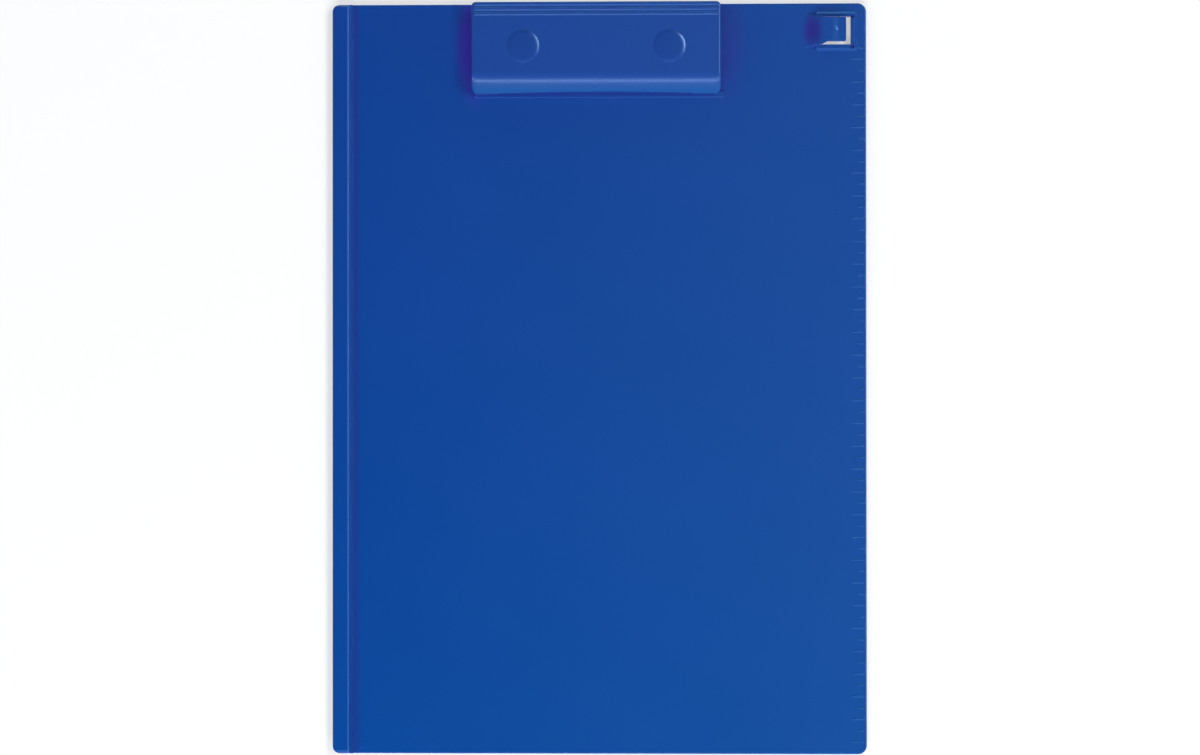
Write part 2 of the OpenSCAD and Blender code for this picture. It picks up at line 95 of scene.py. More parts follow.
def ramp(tree, value, start, end, low=0.0, high=1.0, **settings):
    """Maps start to low and end to high, evenly in between and held beyond."""
    return place(tree, "ShaderNodeMapRange",
                 {"Value": value, "From Min": start, "From Max": end, "To Min": low,
                  "To Max": high}, **settings).outputs[0]


def overlay(tree, mask, under, over):
    """Lays the second colour over the first where the mask is white."""
    mix = place(tree, "ShaderNodeMix",
                {"Factor_Float": mask, "A_Color": under, "B_Color": over}, data_type="RGBA")
    return [socket for socket in mix.outputs if socket.identifier == "Result_Color"][0]


print("helpers ready: fill, place, maths, vectors, ramp, overlay")

# %% [markdown]
# ## What a surface knows about itself
# Every pattern here is computed from the object's own facts: where a point lies on the object
# and which way its surface faces. Neither depends on where one looks from. A noise turns the
# place into a soft pattern, whose cells are as wide as one metre divided by its scale.


# %% Helpers that read the surface
def own_place(tree):
    """Where the point lies on the object, in metres."""
    return place(tree, "ShaderNodeTexCoord").outputs["Object"]


def facing(tree):
    """The X, Y and Z parts of the direction that the surface faces."""
    normal = place(tree, "ShaderNodeNewGeometry").outputs["Normal"]
    return place(tree, "ShaderNodeSeparateXYZ", {"Vector": normal}).outputs


def noise(tree, spot, scale, detail):
    """A soft pattern between 0 and 1. Each step of detail adds cells of half the width."""
    return place(tree, "ShaderNodeTexNoise",
                 {"Vector": spot, "Scale": scale, "Detail": detail}).outputs["Fac"]


print("helpers ready: own_place, facing, noise")

# %% [markdown]
# ## Groups and materials
# An effect that several materials share becomes a node group with named inputs and outputs, so
# each material can give it values of its own. A new material starts with an empty tree that
# holds only its shader and its output.


# %% Helpers for groups and materials
VALUE = "NodeSocketFloat"
COLOUR = "NodeSocketColor"
VECTOR = "NodeSocketVector"


def effect(name, inputs, outputs):
    """Starts a node group. Inputs are (name, socket, value), outputs are (name, socket)."""
    group = bpy.data.node_groups.new(name, "ShaderNodeTree")
    for title, socket, value in inputs:
        made = group.interface.new_socket(title, in_out="INPUT", socket_type=socket)
        made.default_value = value
    for title, socket in outputs:
        group.interface.new_socket(title, in_out="OUTPUT", socket_type=socket)
    return group, group.nodes.new("NodeGroupInput").outputs, group.nodes.new("NodeGroupOutput")


def close(group, out, results):
    """Links the results to the group's outputs and hands the group back."""
    for name, socket in results.items():
        group.links.new(socket, out.inputs[name])
    return group


def use_effect(tree, group, values):
    """Places a finished effect in a material, with this material's own values."""
    node = tree.nodes.new("ShaderNodeGroup")
    node.node_tree = group
    return fill(tree, node, values).outputs


def new_material(name):
    """A material with an empty tree, its shader and its output."""
    made = bpy.data.materials.new(name)
    made.use_nodes = True
    tree = made.node_tree
    tree.nodes.clear()
    shader = tree.nodes.new("ShaderNodeBsdfPrincipled")
    surface = tree.nodes.new("ShaderNodeOutputMaterial")
    tree.links.new(shader.outputs["BSDF"], surface.inputs["Surface"])
    return made, tree, shader


print("helpers ready: effect, close, use_effect, new_material")

# %% [markdown]
# ## Effect: moulded skin and painted light
# A moulded plastic sheet is never one flat colour. It cools unevenly, so the pigment drifts over a
# few centimetres, and the steel of the mould leaves a fine satin grain of less than a millimetre.
# On top of these the effect paints light into the colour. A painted gradient of light runs from
# the near tone at the clip to the far tone at the bottom of the page, and a painted sheen grows
# towards the right. A picture of such a surface would have to be wrapped and would repeat, so the
# effect measures the object's own position instead. The height up the page and the side of it give
# the painted gradient and sheen, one slow noise gives the drift and bends the gradient, and one
# fine noise gives the grain that the Bump node reads.

# %% Moulded skin and painted light
MID_NOISE = 0.5
HALF_BOARD = 0.12
GRADIENT_BEND = 0.12


def build_skin_and_painted_light():
    group, given, out = effect(
        "Skin And Painted Light",
        [("Near Tone", COLOUR, (0.5, 0.5, 0.5, 1)), ("Far Tone", COLOUR, (0.5, 0.5, 0.5, 1)),
         ("Painted Right Sheen", COLOUR, (0, 0, 0, 1)),
         ("Gradient Top", VALUE, 0.16), ("Gradient Bottom", VALUE, -0.16), ("Drift", VALUE, 0.10),
         ("Drift Scale", VALUE, 12.0), ("Grain Scale", VALUE, 1400.0),
         ("Satin", VALUE, 0.35), ("Satin Spread", VALUE, 0.06)],
        [("Colour", COLOUR), ("Roughness", VALUE), ("Grain", VALUE)])
    spot = own_place(group)
    slow = noise(group, spot, given["Drift Scale"], 3.0)
    grain = noise(group, spot, given["Grain Scale"], 2.0)
    centred = maths(group, "SUBTRACT", slow, MID_NOISE)
    parts = place(group, "ShaderNodeSeparateXYZ", {"Vector": spot}).outputs
    # The height sets the painted gradient of light down the page, the side sets the painted sheen
    # towards the right.
    to_side = ramp(group, parts["X"], -HALF_BOARD, HALF_BOARD)
    bent = maths(group, "MULTIPLY_ADD", centred, GRADIENT_BEND, parts["Y"])
    down_the_page = ramp(group, bent, given["Gradient Top"], given["Gradient Bottom"])
    toned = overlay(group, down_the_page, given["Near Tone"], given["Far Tone"])
    painted_sheen = vectors(group, "SCALE", {0: given["Painted Right Sheen"], "Scale": to_side})["Vector"]
    shifted = vectors(group, "ADD", {0: toned, 1: painted_sheen})["Vector"]
    level = maths(group, "MULTIPLY_ADD", centred, given["Drift"], 1.0)
    tinted = vectors(group, "SCALE", {0: shifted, "Scale": level})["Vector"]
    wander = maths(group, "MULTIPLY_ADD", centred, given["Satin Spread"], given["Satin"])
    return close(group, out, {"Colour": tinted, "Roughness": wander, "Grain": grain})


skin_and_painted_light = build_skin_and_painted_light()
print("effect:", skin_and_painted_light.name)

# %% [markdown]
# ## Effect: edge wear
# Hands, pages and desk drawers rub the outer edges first. There the skin turns a little paler
# and duller. The Bevel node looks a fraction of a millimetre around a point and rounds its
# normal, so the difference between that and the true normal is a mask that is white on edges
# and black on flat faces. A noise breaks the line up, because wear is never even.

# %% Edge wear
FLAT_MATCH = 0.995
EDGE_MATCH = 0.75


def build_edge_wear():
    group, given, out = effect(
        "Edge Wear",
        [("Width", VALUE, 0.0006), ("Patch Scale", VALUE, 90.0), ("Amount", VALUE, 0.5),
         ("Corner Radius", VALUE, 0.00025)],
        [("Mask", VALUE), ("Soft Normal", VECTOR)])
    rounded = place(group, "ShaderNodeBevel", {"Radius": given["Width"]}, samples=4)
    softened = place(group, "ShaderNodeBevel", {"Radius": given["Corner Radius"]}, samples=6)
    true_normal = place(group, "ShaderNodeNewGeometry").outputs["True Normal"]
    match = vectors(group, "DOT_PRODUCT", {0: rounded.outputs[0], 1: true_normal})["Value"]
    bend = ramp(group, match, FLAT_MATCH, EDGE_MATCH)
    patch = noise(group, own_place(group), given["Patch Scale"], 4.0)
    broken = ramp(group, patch, 0.4, 0.65, low=0.25)
    worn = maths(group, "MULTIPLY", bend, broken)
    mask = maths(group, "MULTIPLY", worn, given["Amount"], use_clamp=True)
    return close(group, out, {"Mask": mask, "Soft Normal": softened.outputs[0]})


edge_wear = build_edge_wear()
print("effect:", edge_wear.name)

# %% [markdown]
# ## Effect: drawn metal
# Sheet and wire are pulled through rollers and dies, which leaves fine lines along the pull.
# A noise that is squeezed along one axis gives such lines. The squeeze is an input, because a
# bracket is rolled along the page while wire and pin are drawn along the hinge. A second noise
# gives the faint cloudiness of the zinc plating.


# %% Drawn metal
def build_drawn_metal():
    group, given, out = effect(
        "Drawn Metal",
        [("Base", COLOUR, (0.5, 0.5, 0.5, 1)), ("Cloud", VALUE, 0.15),
         ("Cloud Scale", VALUE, 260.0), ("Line Scale", VALUE, 3000.0),
         ("Along X", VALUE, 1.0), ("Along Y", VALUE, 0.04),
         ("Polish", VALUE, 0.3), ("Polish Spread", VALUE, 0.15)],
        [("Colour", COLOUR), ("Roughness", VALUE), ("Lines", VALUE)])
    spot = own_place(group)
    squeeze = place(group, "ShaderNodeCombineXYZ",
                    {"X": given["Along X"], "Y": given["Along Y"], "Z": 1.0})
    pulled = vectors(group, "MULTIPLY", {0: spot, 1: squeeze.outputs[0]})["Vector"]
    lines = noise(group, pulled, given["Line Scale"], 2.0)
    cloud = noise(group, spot, given["Cloud Scale"], 3.0)
    centred = maths(group, "SUBTRACT", cloud, MID_NOISE)
    swing = maths(group, "MULTIPLY_ADD", centred, given["Cloud"], 1.0)
    tinted = vectors(group, "SCALE", {0: given["Base"], "Scale": swing})["Vector"]
    wander = maths(group, "MULTIPLY_ADD", lines, given["Polish Spread"], given["Polish"])
    return close(group, out, {"Colour": tinted, "Roughness": wander, "Lines": lines})


drawn_metal = build_drawn_metal()
print("effect:", drawn_metal.name)

# %% [markdown]
# ## Effect: painted corner shade
# Where two walls of one colour face each other, less light reaches between them, and the light
# that does reach them has bounced more than once. So the blue looks darker and more violet in the
# dimples and in the valleys between the finger ribs, and this effect paints that shade and bounced
# light into the base colour. One could paint such places by hand. The Ambient Occlusion node finds
# them
# alone: it sends short rays out of a point and tells how many are stopped. Its rays can lean, here
# down the page and to the right, so that a wall above the point counts for less than a wall below
# it. The mask depends only on the solids, so it is the same from every side that one looks from.
# Only faces that lie nearly level take part.

# %% Painted corner shade
NEARLY_LEVEL = 0.90
LEVEL = 0.99


def build_painted_corner_shade():
    group, given, out = effect(
        "Painted Corner Shade",
        [("Reach", VALUE, 0.012), ("Amount", VALUE, 1.0), ("Lean", VECTOR, (0.35, -0.70, 0.62)),
         ("Open", VALUE, 0.66), ("Closed", VALUE, 0.30)],
        [("Mask", VALUE)])
    open_sky = place(group, "ShaderNodeAmbientOcclusion",
                     {"Distance": given["Reach"], "Normal": given["Lean"]}, samples=16)
    closed = ramp(group, open_sky.outputs["AO"], given["Open"], given["Closed"],
                  high=given["Amount"])
    flat = ramp(group, facing(group)["Z"], NEARLY_LEVEL, LEVEL)
    return close(group, out, {"Mask": maths(group, "MULTIPLY", closed, flat)})


painted_corner_shade = build_painted_corner_shade()
print("effect:", painted_corner_shade.name)

# %% [markdown]
# ## Effect: painted patch of light or shade
# Light and shade are also painted into the colour in patches with a place of their own: painted
# shade on the ramp beside the window, a painted shadow beside the lever on both sides, painted
# shade at the foot of the rib, a painted highlight along the rib's edge and painted shade in the
# lever's domes. The distance from a middle, with a half width for each axis, draws all of these:
# a round patch where the widths are alike, and a long stripe where one is large. A smooth fall at
# the rim leaves no line. Only faces that look up take part, so nothing shows through on the back.

# %% Painted patch of light or shade
UPRIGHT = 0.0
LOOKS_UP = 0.3


def build_painted_patch():
    group, given, out = effect(
        "Painted Light Patch",
        [("Middle", VECTOR, (0, 0, 0)), ("Half Widths", VECTOR, (0.01, 0.01, 1.0)),
         ("Core", VALUE, 0.3), ("Amount", VALUE, 1.0)],
        [("Mask", VALUE)])
    offset = vectors(group, "SUBTRACT", {0: own_place(group), 1: given["Middle"]})["Vector"]
    scaled = vectors(group, "DIVIDE", {0: offset, 1: given["Half Widths"]})["Vector"]
    away = vectors(group, "LENGTH", {0: scaled})["Value"]
    patch = ramp(group, away, 1.0, given["Core"], high=given["Amount"],
                 interpolation_type="SMOOTHSTEP")
    upper = ramp(group, facing(group)["Z"], UPRIGHT, LOOKS_UP)
    return close(group, out, {"Mask": maths(group, "MULTIPLY", patch, upper)})


painted_patch = build_painted_patch()
print("effect:", painted_patch.name)

# %% [markdown]
# ## Effect: painted sheen on the lip's front
# Where the rolled lip turns down to the page, its front faces the light from below the page, so
# the colour there is painted paler and greener than the lever's top: a painted sheen. The normal
# says how far a point has turned to the front, so a mask made from it follows the roll exactly,
# whatever its radius.


# %% Painted front sheen
def build_painted_front_sheen():
    group, given, out = effect(
        "Painted Front Sheen",
        [("Turn Start", VALUE, 0.45), ("Turn End", VALUE, 0.80), ("Patch Scale", VALUE, 60.0)],
        [("Mask", VALUE)])
    forward = maths(group, "MULTIPLY", facing(group)["Y"], -1.0)
    turned = ramp(group, forward, given["Turn Start"], given["Turn End"])
    patch = noise(group, own_place(group), given["Patch Scale"], 3.0)
    broken = ramp(group, patch, 0.3, 0.6, low=0.8)
    return close(group, out, {"Mask": maths(group, "MULTIPLY", turned, broken)})


painted_front_sheen = build_painted_front_sheen()
print("effect:", painted_front_sheen.name)

# %% [markdown]
# ## Recipe: moulded plastic
# One recipe serves every moulding. The skin's colour with its painted gradient and sheen comes
# first, then painted shade in the corners, then each painted patch of light or shade in turn, then
# the worn edges, and last a painted sheen on the lip's front where there is one.
# Worn edges are also duller. The fine grain bends the light a little through the Bump node, and
# the refractive index is polystyrene's own.

# %% Moulded plastic
POLYSTYRENE_IOR = 1.59
DULLER_EDGE = 0.12
GRAIN_STRENGTH = 0.35


def moulded_plastic(name, near, far, side, worn, corner, satin, grain_depth, wear, corner_shading,
                    light_patches=(), front_sheen=None, gloss=(1, 1, 1, 1)):
    """Plastic with pigment drift, satin grain and worn edges, and painted light: gradient, sheen,
    corner shade, patches and a front sheen.
    """
    made, tree, shader = new_material(name)
    skin = use_effect(tree, skin_and_painted_light, {"Near Tone": near, "Far Tone": far,
                                           "Painted Right Sheen": side, "Satin": satin})
    edge = use_effect(tree, edge_wear, {"Amount": wear})
    # Painted shade: the corner mask lays the darker corner colour over the skin.
    corner_shade = use_effect(tree, painted_corner_shade, corner_shading)
    colour = overlay(tree, corner_shade["Mask"], skin["Colour"], corner)
    # Each painted patch lays painted light or shade over the colour.
    for middle, half_widths, core, amount, tone in light_patches:
        patch = use_effect(tree, painted_patch, {"Middle": middle, "Half Widths": half_widths,
                                              "Core": core, "Amount": amount})
        colour = overlay(tree, patch["Mask"], colour, tone)
    colour = overlay(tree, edge["Mask"], colour, worn)
    # Painted sheen on the front of the rolled lip, where there is one.
    if front_sheen:
        front = use_effect(tree, painted_front_sheen, {})
        colour = overlay(tree, front["Mask"], colour, front_sheen)
    dull = maths(tree, "MULTIPLY_ADD", edge["Mask"], DULLER_EDGE, skin["Roughness"])
    bump = place(tree, "ShaderNodeBump",
                 {"Height": skin["Grain"], "Normal": edge["Soft Normal"],
                  "Strength": GRAIN_STRENGTH, "Distance": grain_depth})
    fill(tree, shader, {"Base Color": colour, "Roughness": dull, "Normal": bump.outputs[0],
                        "IOR": POLYSTYRENE_IOR, "Specular Tint": gloss})
    return made


print("recipe ready: moulded_plastic")

# %% [markdown]
# ## Tones of blue
# Board and lever come out of the same granulate: a deep, even blue with a satin skin. The lever
# was moulded apart, so its tone differs a bit. Near is at the clip and far is at the bottom of
# the page, and the change between them is a painted gradient of light. The side tone is a
# painted sheen that is added towards the right. The photograph shows a soft sheen on the rolled
# lip and none on the flat plate, so the roughness lies near a quarter.

# %% Tones of blue
BOARD_NEAR = (0.0072, 0.0565, 0.335, 1)
BOARD_FAR = (0.0022, 0.0694, 0.362, 1)
# Painted sheen added towards the right, on the board and on the lever.
BOARD_RIGHT_SHEEN = (0.0075, 0.0165, 0.0100, 1)
LEVER_NEAR = (0.0125, 0.0660, 0.350, 1)
LEVER_RIGHT_SHEEN = (0.0050, 0.0100, 0.0100, 1)
WORN_BLUE = (0.0080, 0.0880, 0.400, 1)
# Painted sheen on the front of the rolled lip.
FRONT_SHEEN_BLUE = (0.0165, 0.1030, 0.375, 1)
# Painted shade: violet in the board's corners, darker blue in the lever's rib valleys.
VIOLET_CORNER_SHADE = (0.0450, 0.0290, 0.360, 1)
VALLEY_SHADE_BLUE = (0.0050, 0.0180, 0.240, 1)
# Painted shade on the ramp beside the window.
RAMP_SHADE_VIOLET = (0.0340, 0.0240, 0.300, 1)
# Painted shadow of the lever on the plate: strong on its left, softer on its right.
SHADE_VIOLET = (0.0580, 0.0400, 0.500, 1)
RIGHT_SHADE_VIOLET = (0.0450, 0.0340, 0.340, 1)
# Painted shade at the foot of the rib.
FOOT_SHADE_VIOLET = (0.0220, 0.0330, 0.270, 1)
# Painted highlight along the rib's edge.
PAINTED_RIB_HIGHLIGHT = (0.0340, 0.1150, 0.430, 1)
# Painted shade in the lever's domes.
DOME_SHADE_BLUE = (0.0095, 0.0540, 0.300, 1)
LEVER_GLOSS = (0.50, 0.74, 1.0, 1)
BOARD_GLOSS = (0.26, 0.62, 1.0, 1)
BOARD_SATIN = 0.25
LEVER_SATIN = 0.27
FINE_GRAIN = 0.003 * MM
LIGHT_WEAR = 0.2
print("tones: board", BOARD_NEAR[:3], "to", BOARD_FAR[:3], "lever", LEVER_NEAR[:3])

# %% [markdown]
# ## Finish: blue polystyrene
# Each painted patch of light or shade has a middle, half widths, a core inside which it is full,
# an amount and a tone. A half width of a metre or more means that the patch runs right through
# along that axis. The lever's painted corner shade lies in its rib valleys: they are shallow, so
# the rays there are short and go straight up.

# %% Blue polystyrene
THROUGH = 1.0
WHOLE_PAGE = 9.0
DOME_X = 0.032
DOME_SHADE_R = 0.0074
# Painted shade on the ramp's slope, which faces away from the lamps on the right.
RAMP_SHADE = ((0.0938, 0.1530, 0.005), (0.0062, 0.0098, THROUGH), 0.15, 0.85, RAMP_SHADE_VIOLET)
# Painted shadow of the lever, strong on the left and soft on the right.
LEFT_SHADE = ((-0.0556, 0.1465, 0.003), (0.0095, 0.0300, THROUGH), 0.25, 0.97, SHADE_VIOLET)
RIGHT_SHADE = ((0.0536, 0.1465, 0.003), (0.0150, 0.0300, THROUGH), 0.30, 0.34, RIGHT_SHADE_VIOLET)
# Painted shade along the rib's foot.
RIB_FOOT_SHADE = ((-0.1077, 0.0, 0.003), (0.0026, WHOLE_PAGE, THROUGH), 0.20, 0.45, FOOT_SHADE_VIOLET)
# Painted highlight along the rib's rounded edge.
RIB_EDGE_HIGHLIGHT = ((-0.1105, 0.0, 0.005), (0.0005, WHOLE_PAGE, THROUGH), 0.50, 0.90, PAINTED_RIB_HIGHLIGHT)
# Painted shade in the two domes on the lever.
DOME_SHADES = [((side * DOME_X - 0.001, 0.1454, 0.014), (DOME_SHADE_R, DOME_SHADE_R, THROUGH),
               0.88, 0.5, DOME_SHADE_BLUE) for side in (-1, 1)]
# Painted shade in the lever's rib valleys.
VALLEYS = {"Amount": 1.0, "Reach": 0.003, "Lean": (0, 0, 1), "Open": 0.92, "Closed": 0.55}
board_blue = moulded_plastic(
    "board_polystyrene", BOARD_NEAR, BOARD_FAR, BOARD_RIGHT_SHEEN, WORN_BLUE, VIOLET_CORNER_SHADE,
    BOARD_SATIN, FINE_GRAIN, LIGHT_WEAR, {"Amount": 1.0}, gloss=BOARD_GLOSS,
    light_patches=[RAMP_SHADE, LEFT_SHADE, RIGHT_SHADE, RIB_FOOT_SHADE, RIB_EDGE_HIGHLIGHT])
lever_blue = moulded_plastic(
    "lever_polystyrene", LEVER_NEAR, LEVER_NEAR, LEVER_RIGHT_SHEEN, WORN_BLUE, VALLEY_SHADE_BLUE,
    LEVER_SATIN, FINE_GRAIN, LIGHT_WEAR, VALLEYS, gloss=LEVER_GLOSS,
    light_patches=DOME_SHADES, front_sheen=FRONT_SHEEN_BLUE)
print("finishes:", board_blue.name, lever_blue.name)

# %% [markdown]
# ## Finish: steel
# The hidden mechanism is steel: brackets and washers are zinc plated sheet, the pin is drawn
# bright, the springs are dark oiled wire and the rivets are plain. All of them use the drawn
# metal effect with their own tone and polish, and differ in the way that their lines run: along
# the page, along the hinge, or nowhere in particular.

# %% Steel
ALONG_PAGE = (1.0, 0.04)
ALONG_PIN = (0.03, 1.0)
ALONG_WIRE = (0.05, 1.0)
NO_PULL = (1.0, 1.0)
SHEET_LINES = 0.02 * MM
FINE_LINES = 0.01 * MM
LINE_STRENGTH = 0.3


def metal(name, base, polish, squeeze, line_depth):
    """Steel with drawn lines, cloudy plating and a soft bump."""
    made, tree, shader = new_material(name)
    skin = use_effect(tree, drawn_metal, {"Base": base, "Polish": polish,
                                          "Along X": squeeze[0], "Along Y": squeeze[1]})
    bump = place(tree, "ShaderNodeBump", {"Height": skin["Lines"], "Strength": LINE_STRENGTH,
                                          "Distance": line_depth})
    fill(tree, shader, {"Base Color": skin["Colour"], "Roughness": skin["Roughness"],
                        "Normal": bump.outputs[0], "Metallic": 1.0})
    print("finish:", name)
    return made


zinc_steel = metal("zinc_plated_steel", (0.62, 0.63, 0.65, 1), 0.28, ALONG_PAGE, SHEET_LINES)
pin_steel = metal("drawn_pin_steel", (0.58, 0.58, 0.60, 1), 0.18, ALONG_PIN, FINE_LINES)
wire_steel = metal("spring_wire", (0.23, 0.22, 0.22, 1), 0.30, ALONG_WIRE, FINE_LINES)
rivet_steel = metal("rivet_steel", (0.40, 0.40, 0.42, 1), 0.30, NO_PULL, FINE_LINES)

# %% [markdown]
# ## Finish: nylon, and dressing the hidden pieces
# The two bushes on the pin are undyed nylon, which is a moulding too, so they use the same
# recipe as the board with other colours, a duller skin and a coarser grain. The hidden pieces
# keep their CAD solids, so each one only gets its finish in its material slots.

# %% Nylon and the hidden pieces
NYLON = (0.72, 0.70, 0.62, 1)
WORN_NYLON = (0.80, 0.79, 0.74, 1)
# Painted shade in the corners of the nylon bushes.
NYLON_CORNER_SHADE = (0.50, 0.46, 0.36, 1)
NO_GAIN = (0, 0, 0, 1)
white_nylon = moulded_plastic("natural_nylon", NYLON, NYLON, NO_GAIN, WORN_NYLON, NYLON_CORNER_SHADE,
                              satin=0.5, grain_depth=0.02 * MM, wear=0.3,
                              corner_shading={"Amount": 0.6})
HIDDEN = {"bracket_left": zinc_steel, "bracket_right": zinc_steel, "rivet_washers": zinc_steel,
          "hinge_pin": pin_steel, "bracket_rivets": rivet_steel,
          "spring_bush_left": white_nylon, "spring_bush_right": white_nylon}
for node, finish in HIDDEN.items():
    for slot in nodes[node].material_slots:
        slot.material = finish
    print(node, "is", finish.name)

# %% [markdown]
# ## Smooth light on a mesh
# The CAD solids already have the right forms, down to the scale's raised lines. Seen close, a
# rounding that is cut in steps still shows its facets. Blender's own smoothing averages around
# each corner, which tilts the light on a long thin face. Here each face corner gets a normal of
# its own: across each edge the two faces are averaged by their area, and the longer edge counts
# more. So a large flat face stays flat right up to its rounded rim, and an edge that folds more
# sharply than the crease angle stays crisp.


# %% Smooth light on a mesh
def blended_normals(mesh, crease):
    """One normal for each face corner, in which the larger face and the longer edge count more."""
    beside = {}
    for face in mesh.polygons:
        for edge in face.edge_keys:
            beside.setdefault(edge, []).append(face)
    alike = math.cos(math.radians(crease))
    corner_normals = [None] * len(mesh.loops)
    for face in mesh.polygons:
        spots = [mesh.vertices[index].co for index in face.vertices]
        across = []
        for i, first in enumerate(face.vertices):
            j = (i + 1) % len(spots)
            shared = face.normal * face.area
            for other in beside[tuple(sorted((first, face.vertices[j])))]:
                if other.index != face.index and other.normal.dot(face.normal) > alike:
                    shared = shared + other.normal * other.area
            across.append(shared.normalized() * (spots[j] - spots[i]).length)
        for i, corner in enumerate(face.loop_indices):
            corner_normals[corner] = (across[i] + across[i - 1]).normalized()
    print(mesh.name, "normals at", len(corner_normals), "face corners")
    return corner_normals


# %% [markdown]
# ## The board
# Each moulding gets a copy of its solid's mesh, in which corners that lie on each other are
# welded and flat faces are whole again. The copy rides on the same body as its solid and
# replaces it.

# %% The board
WELD = 0.001 * MM
FLAT = math.radians(0.05)
BOARD_CREASE = 32


def clean_copy(node):
    """The node's solid as an editable mesh with shared corners and whole flat faces."""
    form = bmesh.new()
    form.from_mesh(nodes[node].data)
    bmesh.ops.remove_doubles(form, verts=form.verts, dist=WELD)
    bmesh.ops.dissolve_limit(form, angle_limit=FLAT, verts=form.verts, edges=form.edges)
    return form


def moulding(name, node, body, finish, form, crease, exact=None):
    """The finished mesh as a piece that stands for its solid."""
    for face in form.faces:
        face.smooth = True
    mesh = bpy.data.meshes.new(name)
    form.to_mesh(mesh)
    form.free()
    for made in ("custom_normal", "sharp_edge", "sharp_face"):
        if made in mesh.attributes:
            mesh.attributes.remove(mesh.attributes[made])
    corner_normals = blended_normals(mesh, crease)
    if exact:
        exact(mesh, corner_normals)
    mesh.normals_split_custom_set(corner_normals)
    mesh.materials.clear()
    mesh.materials.append(finish)
    piece = bpy.data.objects.new(name, mesh)
    bpy.context.scene.collection.objects.link(piece)
    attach(piece, body)
    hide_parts(node)
    print(name, "faces", len(mesh.polygons))


moulding("board_plate", "board", "base", board_blue, clean_copy("board"), BOARD_CREASE)

# %% [markdown]
# ## Soft ends of the rolled lip
# At both ends the real lip does not stop square: the last few millimetres draw in towards the
# roll's axis, like the end of a loaf. The lever's mesh is cut across close to each end, closer
# and closer together, so that there are corners to move, and each corner then moves inwards
# along a quarter ellipse. Only the roll's outer skin and the lever's end walls move, and more at
# the front than on top. The middle of the lip stays where the CAD puts it.

# %% Soft ends of the rolled lip
LEVER_MIDDLE = -1.0 * MM
LEVER_HALF = 54.6 * MM
ROLL_Y = 134.3 * MM
ROLL_Z = 4.7 * MM
ROLL_R = 9.3 * MM
SKIN_DEPTH = 0.3 * MM
END_WALL = 1.9 * MM
END_REACH = 4.5 * MM
END_DEPTH = 1.4 * MM
FRONT_SHORTER = 0.5
END_CUTS = (5.0, 4.2, 3.5, 2.8, 2.2, 1.7, 1.3, 0.9, 0.6, 0.35, 0.15, 0.04)


def soften_ends(form):
    """Draws the lip's two ends in towards the roll's axis, along a quarter ellipse."""
    for side in (-1, 1):
        for cut in END_CUTS:
            plane = (LEVER_MIDDLE + side * (LEVER_HALF - cut * MM), 0, 0)
            bmesh.ops.bisect_plane(form, geom=form.verts[:] + form.edges[:] + form.faces[:],
                                   dist=0.0001 * MM, plane_co=plane, plane_no=(1, 0, 0))
    moved = 0
    for spot in form.verts:
        back, up = ROLL_Y - spot.co.y, spot.co.z - ROLL_Z
        radius = math.hypot(back, up)
        inset = LEVER_HALF - abs(spot.co.x - LEVER_MIDDLE)
        outside = radius > ROLL_R - SKIN_DEPTH or inset < END_WALL
        if back <= 0 or not outside:
            continue
        lean = min(math.atan2(back, max(up, 0)), math.pi / 2)
        reach = END_REACH * (1 - FRONT_SHORTER * math.sin(lean) ** 2)
        along = min(max((reach - inset) / reach, 0), 1)
        draw = END_DEPTH * math.sin(lean) * (1 - math.sqrt(1 - along ** 2))
        spot.co.y += draw * back / radius
        spot.co.z -= draw * up / radius
        moved += draw > 0
    print("lip ends: moved", moved, "corners")
    return form


lever_form = soften_ends(clean_copy("clip_lever"))

# %% [markdown]
# ## The lever
# Between its soft ends the roll is a true cylinder, so there its normals are set straight out of
# its axis. The highlight on it then stays even, however the mesh is cut.

# %% The lever
LEVER_CREASE = 24
ROLL_CREASE = 15
TOUCHING = 0.01 * MM


def roll_normals(mesh, corner_normals):
    """Points the normals of the roll's faces straight out of its axis."""
    alike = math.cos(math.radians(ROLL_CREASE))
    exact = 0
    for face in mesh.polygons:
        for corner in face.loop_indices:
            spot = mesh.vertices[mesh.loops[corner].vertex_index].co
            outward = Vector((0, spot.y - ROLL_Y, spot.z - ROLL_Z))
            on_roll = abs(outward.length - ROLL_R) < TOUCHING and outward.y <= 0.001 * MM
            inside_ends = abs(spot.x - LEVER_MIDDLE) <= LEVER_HALF - END_REACH + TOUCHING
            if on_roll and inside_ends and face.normal.dot(outward.normalized()) > alike:
                corner_normals[corner] = outward.normalized()
                exact += 1
    print("roll: exact normals at", exact, "face corners")


moulding("clip_moulding", "clip_lever", "lever", lever_blue, lever_form, LEVER_CREASE,
         exact=roll_normals)

# %% [markdown]
# ## The springs' route
# Each torsion spring is 1.2 mm wire: a straight leg lies on the bracket, five and a half turns
# wind round the bush, and the other leg presses under the lever. One formula gives the points of
# both springs, with the sizes in millimetres, and the right one is the left one's mirror image.

# %% The springs' route
AXIS_Y = 145.4
AXIS_Z = 7.9
SPRING_X = 32.0
WIRE_D = 1.2
COIL_R = 3.4
TURNS = 5.5
COIL_L = 9.35
LEG_L = 12.0
STEPS_PER_TURN = 24


